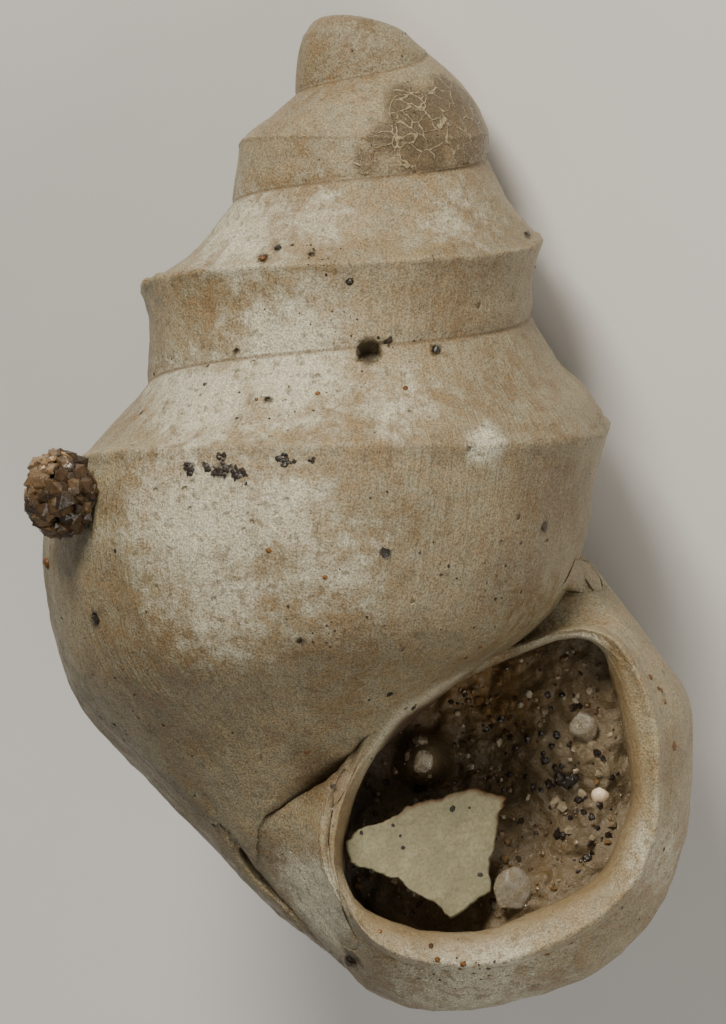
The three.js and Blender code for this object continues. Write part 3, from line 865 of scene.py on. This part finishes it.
print("sediment")
sediment = sedimentMesh()
bed = pointsOf(sediment)
bedX, bedDepth = bed[:, 0], -bed[:, 1]
setValues(sediment, "amber", bump(bedX, .19, .07) * bump(bedDepth, .81, .05))
setValues(sediment, "ochre", np.clip(.9 * ease(bedX, .29, .36) + .7 * ease(bedDepth, 1.0, 1.08)
                                     + .6 * bump(bedX, .27, .07) * bump(bedDepth, .76, .06), 0, 1))
# painted shade in the hollow, by the left wall and right of and below the chip; darker under the black grains
setValues(sediment, "dark", np.clip(.55 * bump(bedX, .17, .08) * bump(bedDepth, .895, .07)
                                    + .6 * bump(bedX, .245, .03) * bump(bedDepth, .985, .06)
                                    + .9 * bump(bedX, .295, .03) * bump(bedDepth, .918, .022)
                                    + .6 * bump(bedX, .31, .03) * bump(bedDepth, .97, .03)
                                    + .9 * bump(bedX, .045, .03) + .6 * bump(bedDepth, 1.07, .025)
                                    * ease(bedX, .2, .1), 0, 1))
sedimentTree = treeOf(sediment)
finished("sediment_fill", sediment, "sediment", soilMaterial(), "sediment")


def grainsMesh(name, places, normals, sizes, seed, shades, levels=1, rough=.35, squash=.7):
    # each grain: a ball with its points pushed in and out, stretched three ways, turned, flattened along its
    # normal and set on its place
    rng = np.random.default_rng(seed)
    ball, faces = unitBall(levels)
    count = len(places)
    radial = 1 + rough * (rng.random((count, len(ball), 1)) - .5)
    stretch = 1 + .5 * (rng.random((count, 1, 3)) - .5)
    turns = np.linalg.qr(rng.normal(size=(count, 3, 3)))[0]
    turns *= np.sign(np.linalg.det(turns))[:, None, None]
    local = np.einsum("nij,nkj->nki", turns, ball * radial * stretch) * sizes[:, None, None]
    local[..., 2] *= squash
    points = np.einsum("nij,nkj->nki", turnedTo(normals), local) + places[:, None]
    allFaces = faces[None] + (np.arange(count) * len(ball))[:, None, None]
    mesh = meshOf(name, points.reshape(-1, 3), allFaces.reshape(-1, 3))
    setValues(mesh, "shade", np.repeat(np.clip(shades, 0, 1), len(ball)))
    return mesh


def grainMaterial(name, colors, roughness, mottling=220, **fixed):    # grains coloured by shade along a ramp
    material, tree, shader = startMaterial(name, **fixed)
    place = millimetres(tree)
    ramp = node(tree, "ValToRGB", {"Fac": attribute(tree, "shade")}).color_ramp
    ramp.elements.remove(ramp.elements[1])
    for number, color in enumerate(colors):
        at = number / max(len(colors) - 1, 1)
        stop = ramp.elements[0] if number == 0 else ramp.elements.new(at)
        stop.color = (*color, 1)
    mottle = noise(tree, place, mottling, 3)
    base = [found for found in tree.nodes if found.bl_idname == "ShaderNodeValToRGB"][0].outputs["Color"]
    darker = blend(tree, 1, base, (.45, .42, .38), "MULTIPLY")
    color = blend(tree, between(tree, mottle, .40, .68, 0, .8), base, darker)
    tree.links.new(color, shader.inputs["Base Color"])
    tree.links.new(between(tree, mottle, .3, .7, max(roughness - .12, .05), roughness + .15),
                   shader.inputs["Roughness"])
    bumped(tree, shader, mottle, 1e-6)
    return material


specks = {"radius": (.0008, .0024), "seed": 91,
          # (right of the axis, depth, spread along, spread down, how many, largest radius)
          "clusters": [(-.196, .568, .006, .008, 18, .0048), (-.150, .571, .019, .008, 44, .0050),
                       (-.158, .552, .006, .004, 6, .0040), (-.080, .553, .009, .005, 16, .0045),
                       (-.046, .548, .006, .003, 6, .0032), (-.060, .300, .04, .02, 14, .0024),
                       (.034, .402, .006, .004, 3, .0024), (-.015, .760, .05, .04, 14, .0024),
                       (-.250, .860, .03, .05, 9, .0024), (.100, .840, .012, .004, 3, .0040),
                       (-.100, .500, .10, .03, 16, .0020), (.160, .660, .08, .06, 22, .0022),
                       (.200, 1.150, .05, .02, 14, .0022), (-.040, .380, .07, .02, 16, .0018)],
          "single": [(-.109, .293, .0046), (-.018, .328, .0040), (.094, .402, .0056), (.052, .654, .0056),
                     (.242, .607, .0056), (-.296, .762, .0066), (-.185, .466, .0040), (.010, .945, .0035),
                     (.036, .395, .0042), (.022, .393, .0024), (-.142, .505, .0024), (.070, .826, .0048),
                     (.130, 1.112, .0030), (.420, .990, .0024), (.190, .700, .0030)],
          "amber": [(-.046, .467, .0042), (-.091, .663, .0048), (-.36, .70, .0085), (-.025, .905, .0034),
                    (.145, 1.130, .0040), (.154, 1.146, .0034), (-.126, .307, .0048), (.060, .452, .0036),
                    (.186, 1.149, .0037), (.183, 1.155, .0031), (.217, 1.152, .0034), (.081, 1.117, .0027),
                    (.316, 1.113, .0029), (.288, 1.129, .0027), (.387, .781, .0037), (.398, .794, .0031),
                    (.407, .810, .0031), (.402, .796, .0025), (.423, .863, .0049), (.201, 1.102, .0037),
                    (-.020, .690, .0030), (-.120, .480, .0026), (.176, .760, .0028), (.160, .775, .0024)]}
black = [(.018, .014, .012), (.035, .026, .018), (.055, .036, .022)]
amber = [(.16, .055, .010), (.30, .13, .03), (.10, .045, .02)]


def speckPieces():    # black and amber grit on the shell: clusters, single grains, and a few all round
    rng = np.random.default_rng(specks["seed"])
    rows = [list(row) for row in specks["single"]]
    for x, depth, wide, tall, count, largest in specks["clusters"]:
        off = rng.normal(size=(count, 2)) * (wide / 1.6, tall / 1.6)
        size = largest * (.40 + .60 * rng.random(count))
        rows += np.column_stack([x + off[:, 0], depth + off[:, 1], size]).tolist()
    places, normals, found = onTree(shellTree, rows)
    sizes = np.array(rows)[found, 2]
    some, facing = strewn
    low, high = specks["radius"]
    small = low + (high - low) * rng.random(len(some)) ** 2.5
    places, normals = np.concatenate([places, some]), np.concatenate([normals, facing])
    sizes = np.concatenate([sizes, small])
    mesh = grainsMesh("dark", places, normals, sizes, 92, rng.random(len(sizes)), squash=.55, rough=.7)
    finished("dark_specks", mesh, "sediment", grainMaterial("black grit", black, .35), smooth=False)
    places, normals, found = onTree(shellTree, specks["amber"])
    sizes = np.array(specks["amber"])[found, 2]
    mesh = grainsMesh("amber", places, normals, sizes, 93, rng.random(len(sizes)), levels=2, squash=.6)
    finished("amber_specks", mesh, "amber_grain", grainMaterial("amber grit", amber, .25, Subsurface_Weight=.2))


print("grit")
speckPieces()


siltGrains = {    # (right of the axis, depth, radius), lying on the silt
    "black": [(.222, .868, .0049), (.243, .867, .0061), (.230, .881, .0043), (.192, .861, .0037),
              (.116, .938, .0086), (.268, .893, .0061), (.274, .875, .0043), (.287, .913, .0110),
              (.302, .916, .0098), (.295, .920, .0086), (.329, .878, .0061), (.337, .884, .0049),
              (.289, .981, .0061), (.296, .983, .0049), (.329, .958, .0061), (.320, .954, .0049),
              (.350, .908, .0043), (.356, .902, .0031), (.328, 1.008, .0061), (.333, 1.002, .0037),
              (.329, .990, .0049), (.337, .970, .0037), (.274, .921, .0061), (.311, .939, .0049),
              (.304, .961, .0049), (.338, .943, .0049), (.265, .930, .0043)],
    "pale": [(.324, .870, .0074), (.334, .905, .0055), (.306, .903, .0043), (.315, .930, .0061),
             (.293, .948, .0110), (.283, .943, .0086), (.302, .977, .0074), (.250, .940, .0043),
             (.331, .984, .0043), (.262, .834, .0049), (.231, .828, .0049), (.257, .850, .0043),
             (.210, .875, .0061), (.227, .933, .0037), (.344, .856, .0049), (.298, .817, .0049),
             (.315, .803, .0043), (.112, .883, .0098), (.099, .900, .0074), (.126, .924, .0049),
             (.110, .917, .0049), (.284, .873, .0037), (.297, .890, .0037)],
    "orange": [(.300, .722, .0043), (.323, .738, .0037), (.280, .767, .0049), (.351, .987, .0043),
               (.290, 1.050, .0067), (.227, 1.018, .0049), (.204, .804, .0037), (.207, .762, .0061),
               (.217, .776, .0049), (.200, .785, .0049), (.181, .826, .0074), (.191, .837, .0061),
               (.173, .816, .0049), (.200, .849, .0049), (.156, .815, .0037), (.359, .812, .0037),
               (.349, .800, .0031)],
    "strewn": 900, "radius": (.0012, .0052), "seed": 95,
}
siltColors = [(.020, .014, .010), (.030, .020, .014), (.10, .055, .022), (.19, .11, .045), (.24, .16, .08),
              (.25, .19, .12), (.32, .26, .17), (.42, .37, .28)]


def siltGrainPiece():    # black, pale and orange grains where they lie, and many small ones between
    rng = np.random.default_rng(siltGrains["seed"])
    named = [(*row, shade) for name, shade in (("black", .04), ("pale", .86), ("orange", .42))
             for row in siltGrains[name]]
    x = .03 + .34 * rng.random(siltGrains["strewn"])
    depth = .71 + .40 * rng.random(siltGrains["strewn"])
    low, high = siltGrains["radius"]
    size = low + (high - low) * rng.random(len(x)) ** 2.2
    dark = bump(x, .30, .05) * bump(depth, .93, .06)
    shade = np.clip(rng.random(len(x)) ** 1.2 - .8 * dark * (rng.random(len(x)) < .7), 0, 1)
    inMouth = mouthEdge(np.column_stack([x, -depth, 0 * x])) > .008
    rows = np.concatenate([np.array(named), np.column_stack([x, depth, size, shade])[inMouth]])
    places, normals, found = onTree(sedimentTree, rows)
    rows = rows[found]
    mesh = grainsMesh("silt grains", places, normals, rows[:, 2], 96, rows[:, 3], squash=.85, rough=.6)
    finished("silt_grains", mesh, "sediment", grainMaterial("silt grains", siltColors, .25), smooth=False)


print("silt grains")
siltGrainPiece()


chip = {"outline": [(.030, 1.012), (.036, 1.005), (.045, .995), (.054, .990), (.071, .985), (.093, .972),
                    (.102, .962), (.118, .955), (.141, .950), (.156, .942), (.168, .938), (.180, .934),
                    (.191, .934), (.203, .938), (.222, .941), (.222, .949), (.220, .956), (.215, .965),
                    (.215, .973), (.215, .983), (.214, .995), (.213, 1.008), (.209, 1.018), (.209, 1.025),
                    (.210, 1.036), (.213, 1.045), (.214, 1.054), (.213, 1.061), (.200, 1.068), (.190, 1.077),
                    (.180, 1.087), (.167, 1.096), (.159, 1.091), (.152, 1.083), (.142, 1.076), (.124, 1.070),
                    (.112, 1.064), (.104, 1.056), (.096, 1.050), (.088, 1.052), (.073, 1.046), (.061, 1.042),
                    (.048, 1.040), (.039, 1.037), (.035, 1.028)],
        "middle": (.145, 1.010), "sides": 360, "thick": .016, "low": .036, "slope": .27, "right": .222,
        "specks": [(.049, .999, .0029), (.101, 1.013, .0032), (.158, .961, .0043), (.179, .958, .0020),
                   (.198, 1.039, .0037), (.087, .987, .0025), (.097, .999, .0022)]}


def chipMesh():
    # the outline shrunk towards the middle in rings, over and under; the edge is round, the plate leans
    closed = np.array([*chip["outline"], chip["outline"][0]])
    steps = np.concatenate([[0], np.cumsum(np.linalg.norm(np.diff(closed, axis=0), axis=-1))])
    along = np.linspace(0, steps[-1], chip["sides"], endpoint=False)
    edge = np.stack([np.interp(along, steps, closed[:, k]) for k in (0, 1)], axis=-1)
    edge = (edge + np.roll(edge, 1, axis=0) + np.roll(edge, -1, axis=0)) / 3
    flatEdge = np.column_stack([edge, 0 * along])
    edge += .0011 * np.stack([fractal(flatEdge, .006, 2, 97), fractal(flatEdge, .006, 2, 98)], axis=-1)
    middle = np.array(chip["middle"])
    half = np.concatenate([[.999, .996, .990, .980, .965, .94], np.linspace(.91, .03, 26)])
    lift = np.minimum(1, ((1 - half) / .022)) ** .5
    share = np.concatenate([half[::-1], [1], half])[:, None, None]
    side = np.concatenate([-lift[::-1], [0], lift])[:, None]
    rings = middle + (edge - middle) * share
    x, depth = rings[..., 0], rings[..., 1]
    z = chip["low"] + chip["thick"] / 2 * (1 + side) + chip["slope"] * (chip["right"] - x)
    flatRings = np.stack([x, depth, 0 * x], axis=-1)
    z = z + .0016 * fractal(flatRings, .05, 3, 99) + .0004 * fractal(flatRings, .008, 2, 100)
    points = np.stack([x, -depth, z], axis=-1)
    index = np.arange(points[..., 0].size).reshape(points.shape[:2])
    closedIndex = np.concatenate([index, index[:, :1]], axis=1)
    ends = points[[0, -1]].mean(axis=1)
    mesh = meshOf("chip", np.concatenate([points.reshape(-1, 3), ends]), quads(closedIndex),
                  fan(closedIndex[0][::-1], index.size), fan(closedIndex[-1], index.size + 1))
    toEdge = np.repeat(1 - share[:, 0, 0], chip["sides"])
    upper = ease(np.repeat(middle[1], index.size) - depth.ravel(), .02, .05)
    setValues(mesh, "rim", np.append((ease(toEdge, .11, .02) * upper), [0, 0]))
    return mesh


def chipMaterial():    # matt greenish grey, faintly mottled, brown along the upper edge, with small specks
    material, tree, shader = startMaterial("chip", Subsurface_Weight=.15, Subsurface_Scale=2e-5)
    place = millimetres(tree)
    middling, fine = noise(tree, place, 28, 4), noise(tree, place, 230, 3, .7)
    color = blend(tree, between(tree, middling, .35, .65), (.26, .24, .15), (.335, .31, .19))
    color = blend(tree, between(tree, fine, .36, .66, 0, .6), color, (.185, .168, .09))
    rim = math(tree, "MULTIPLY", attribute(tree, "rim"), between(tree, middling, .3, .55, .5, 1))
    color = blend(tree, rim, color, (.11, .055, .018))
    tree.links.new(color, shader.inputs["Base Color"])
    tree.links.new(between(tree, fine, .3, .7, .55, .75), shader.inputs["Roughness"])
    bumped(tree, shader, math(tree, "ADD", fine, middling), 9e-7)
    return material


print("chip and clear grains")
chipPlate = chipMesh()
chipTree = treeOf(chipPlate)
finished("shell_chip", chipPlate, "chip", chipMaterial(), "chip")
chipPlaces, chipNormals, chipFound = onTree(chipTree, chip["specks"])
chipSizes = np.array(chip["specks"])[chipFound, 2]
finished("chip_specks", grainsMesh("chip grit", chipPlaces, chipNormals, chipSizes, 101, chipSizes * 150,
                                   squash=.4), "sediment", grainMaterial("chip grit", black[::-1], .4), smooth=False)


# Lying grains: (name, (right of the axis, depth), half width, half length, half height, levels, roughness).
lying = [("translucent_grain", (.240, 1.056), (.024, .030, .018), 3), ("clear_grain", (.310, .849), (.018, .021, .016), 2),
         ("small_clear_grain", (.118, .905), (.013, .016, .012), 2)]


def clearMesh(name, at, size, levels, seed):
    # a ball cut by a few planes: each point comes back to the nearest of the planes that it lies outside of
    rng = np.random.default_rng(seed)
    points, faces = unitBall(levels + 2)
    planes = rng.normal(size=(11, 3))
    planes /= np.linalg.norm(planes, axis=-1, keepdims=True)
    offsets = .60 + .30 * rng.random(11)
    scale = np.minimum(1, (offsets / np.maximum(points @ planes.T, 1e-3)).min(axis=1, keepdims=True))
    points = points * scale * (1 + .03 * fractal(points, .5, 3, seed)[:, None])
    centre = np.array([at[0], -at[1], .031 + 1.02 * size[2]])
    return meshOf(name, points * size + centre, faces)


def clearMaterial():    # clear, faintly brown inside, with dull spots and small inclusions
    material, tree, shader = startMaterial("clear grain", Transmission_Weight=.80, IOR=1.54)
    place = millimetres(tree)
    middling, fine = noise(tree, place, 70, 4), noise(tree, place, 260, 3, .7)
    color = blend(tree, between(tree, middling, .35, .65), (.72, .60, .40), (.90, .84, .70))
    color = blend(tree, between(tree, fine, .62, .74), color, (.20, .13, .07))
    tree.links.new(color, shader.inputs["Base Color"])
    tree.links.new(between(tree, middling, .3, .7, .10, .45), shader.inputs["Roughness"])
    bumped(tree, shader, math(tree, "ADD", fine, middling), 1.2e-6)
    return material


clear = clearMaterial()
for number, (name, at, size, levels) in enumerate(lying):
    finished(name + "_cut", clearMesh(name, at, size, levels, 110 + number), "clear_grain", clear, name)


def beadMaterial():    # smooth, pinkish cream, with faint mottling
    material, tree, shader = startMaterial("bead", Subsurface_Weight=.3, Subsurface_Scale=1e-5)
    place = millimetres(tree)
    fine = noise(tree, place, 160, 4, .7)
    color = blend(tree, between(tree, fine, .35, .68), (.88, .72, .53), (.66, .47, .30))
    tree.links.new(color, shader.inputs["Base Color"])
    tree.links.new(between(tree, fine, .3, .7, .30, .55), shader.inputs["Roughness"])
    bumped(tree, shader, fine, 8e-7)
    return material


beadPoints, beadFaces = unitBall(4)
beadPoints = beadPoints * (1 + .05 * fractal(beadPoints, .9, 2, 113)[:, None]) * .0122
finished("round_bead", meshOf("bead", beadPoints + (.338, -.930, .0433), beadFaces), "bead", beadMaterial(), "bead")


lump = {"at": (-.352, -.614, .175), "size": (.037, .047, .040), "grains": 240, "grainSize": (.0045, .0135),
        "rimWay": (-.80, .58, .10), "knobs": [(-.346, -.569, .185, .0085), (-.385, -.629, .165, .0060),
                                              (-.350, -.664, .185, .0075), (-.374, -.651, .18, .0080)],
        "seed": 121}
lumpColors = [(.030, .018, .010), (.060, .035, .016), (.085, .048, .022), (.13, .078, .036), (.20, .13, .065),
              (.30, .20, .11), (.40, .24, .10), (.46, .27, .10)]


def lumpPiece():
    # cemented grains in random directions from the middle, the tan ones to the upper left, round a core
    rng = np.random.default_rng(lump["seed"])
    count = lump["grains"]
    ways = rng.normal(size=(count, 3))
    ways /= np.linalg.norm(ways, axis=-1, keepdims=True)
    low, high = lump["grainSize"]
    sizes = low + (high - low) * rng.random(count)
    places = np.array(lump["at"]) + ways * lump["size"] * (.90 + .10 * rng.random((count, 1)))
    rim = ease(ways @ np.array(lump["rimWay"]), .50, .80)
    shades = .02 + .42 * rng.random(count) ** 1.8 + rim * (.35 + .3 * rng.random(count))
    knobs = np.array(lump["knobs"])
    places = np.concatenate([places, knobs[:, :3], [lump["at"]]])
    ways = np.concatenate([ways, ways[:len(knobs) + 1]])
    sizes = np.concatenate([sizes * 1.12, knobs[:, 3], [.034]])
    shades = np.concatenate([shades, [.98, .9, .2, .15], [.1]])
    mesh = grainsMesh("lump", places, ways, sizes, lump["seed"] + 1, shades, levels=1, rough=.45, squash=.9)
    material = grainMaterial("cemented grains", lumpColors, .22, 150, Specular_IOR_Level=.6)
    finished("stuck_lump", mesh, "amber_grain", material, "stuck_grain", smooth=False)


print("stuck lump")
lumpPiece()


# The camera looks down along the view that the shell was measured in, from far away.
view = {"distance": 60.0, "height": 1.2564, "middle": (0.0202, -0.607, 0.0), "turn": 4.5}


def makeCamera():    # right = cos, up = sin of the picture's turn, in the coil's frame, then laid down
    turn = np.radians(view["turn"])
    axes = np.array([[np.cos(turn), -np.sin(turn), 0], [np.sin(turn), np.cos(turn), 0], [0, 0, 1]])
    axes = tilt @ axes
    place = toRow(np.array(view["middle"])) + axes[:, 2] * view["distance"] * mm
    matrix = np.eye(4)
    matrix[:3, :3], matrix[:3, 3] = axes, place
    data = bpy.data.cameras.new("camera")
    data.sensor_fit, data.sensor_height = "VERTICAL", 24
    data.lens = data.sensor_height * view["distance"] / view["height"]
    data.clip_start, data.clip_end = 0.001, 1
    camera = bpy.data.objects.new("camera", data)
    bpy.context.scene.collection.objects.link(camera)
    camera.matrix_world = matrix.T.tolist()
    bpy.context.scene.camera = camera


def areaLight(name, way, distance, size, power, color):    # way: right, up, towards the camera
    data = bpy.data.lights.new(name, "AREA")
    data.shape, data.size, data.energy, data.color = "DISK", size * mm, power, color
    light = bpy.data.objects.new(name, data)
    bpy.context.scene.collection.objects.link(light)
    aim = tilt @ np.array(way) * distance * mm
    light.location = aim
    light.rotation_euler = Vector(-aim).to_track_quat("-Z", "Y").to_euler()


def floorMaterial():    # pale, matt, with the faintest mottling
    material, tree, shader = startMaterial("floor", Roughness=.9)
    tree.links.new(blend(tree, between(tree, noise(tree, millimetres(tree), 3, 3), .3, .7), (.80, .79, .775),
                         (.82, .81, .80)), shader.inputs["Base Color"])
    return material


makeCamera()
areaLight("key", (-.36, .62, .70), 9.5, 3.2, 1.10e-3, (1, .94, .82))
areaLight("fill", (.45, -.45, .77), 8, 6, 2.4e-4, (1, .96, .88))
world = bpy.context.scene.world or bpy.data.worlds.new("world")
bpy.context.scene.world = world
world.use_nodes = True
world.node_tree.nodes["Background"].inputs["Color"].default_value = (1, .97, .91, 1)
world.node_tree.nodes["Background"].inputs["Strength"].default_value = .20

floorMesh = bpy.data.meshes.new("floor")
reach, level = .06, cadBox[0][2]
floorMesh.from_pydata([(-reach, -reach, level), (reach, -reach, level), (reach, reach, level),
                       (-reach, reach, level)], [], [(0, 1, 2, 3)])
floorMesh.materials.append(floorMaterial())
objectOf(floorMesh)
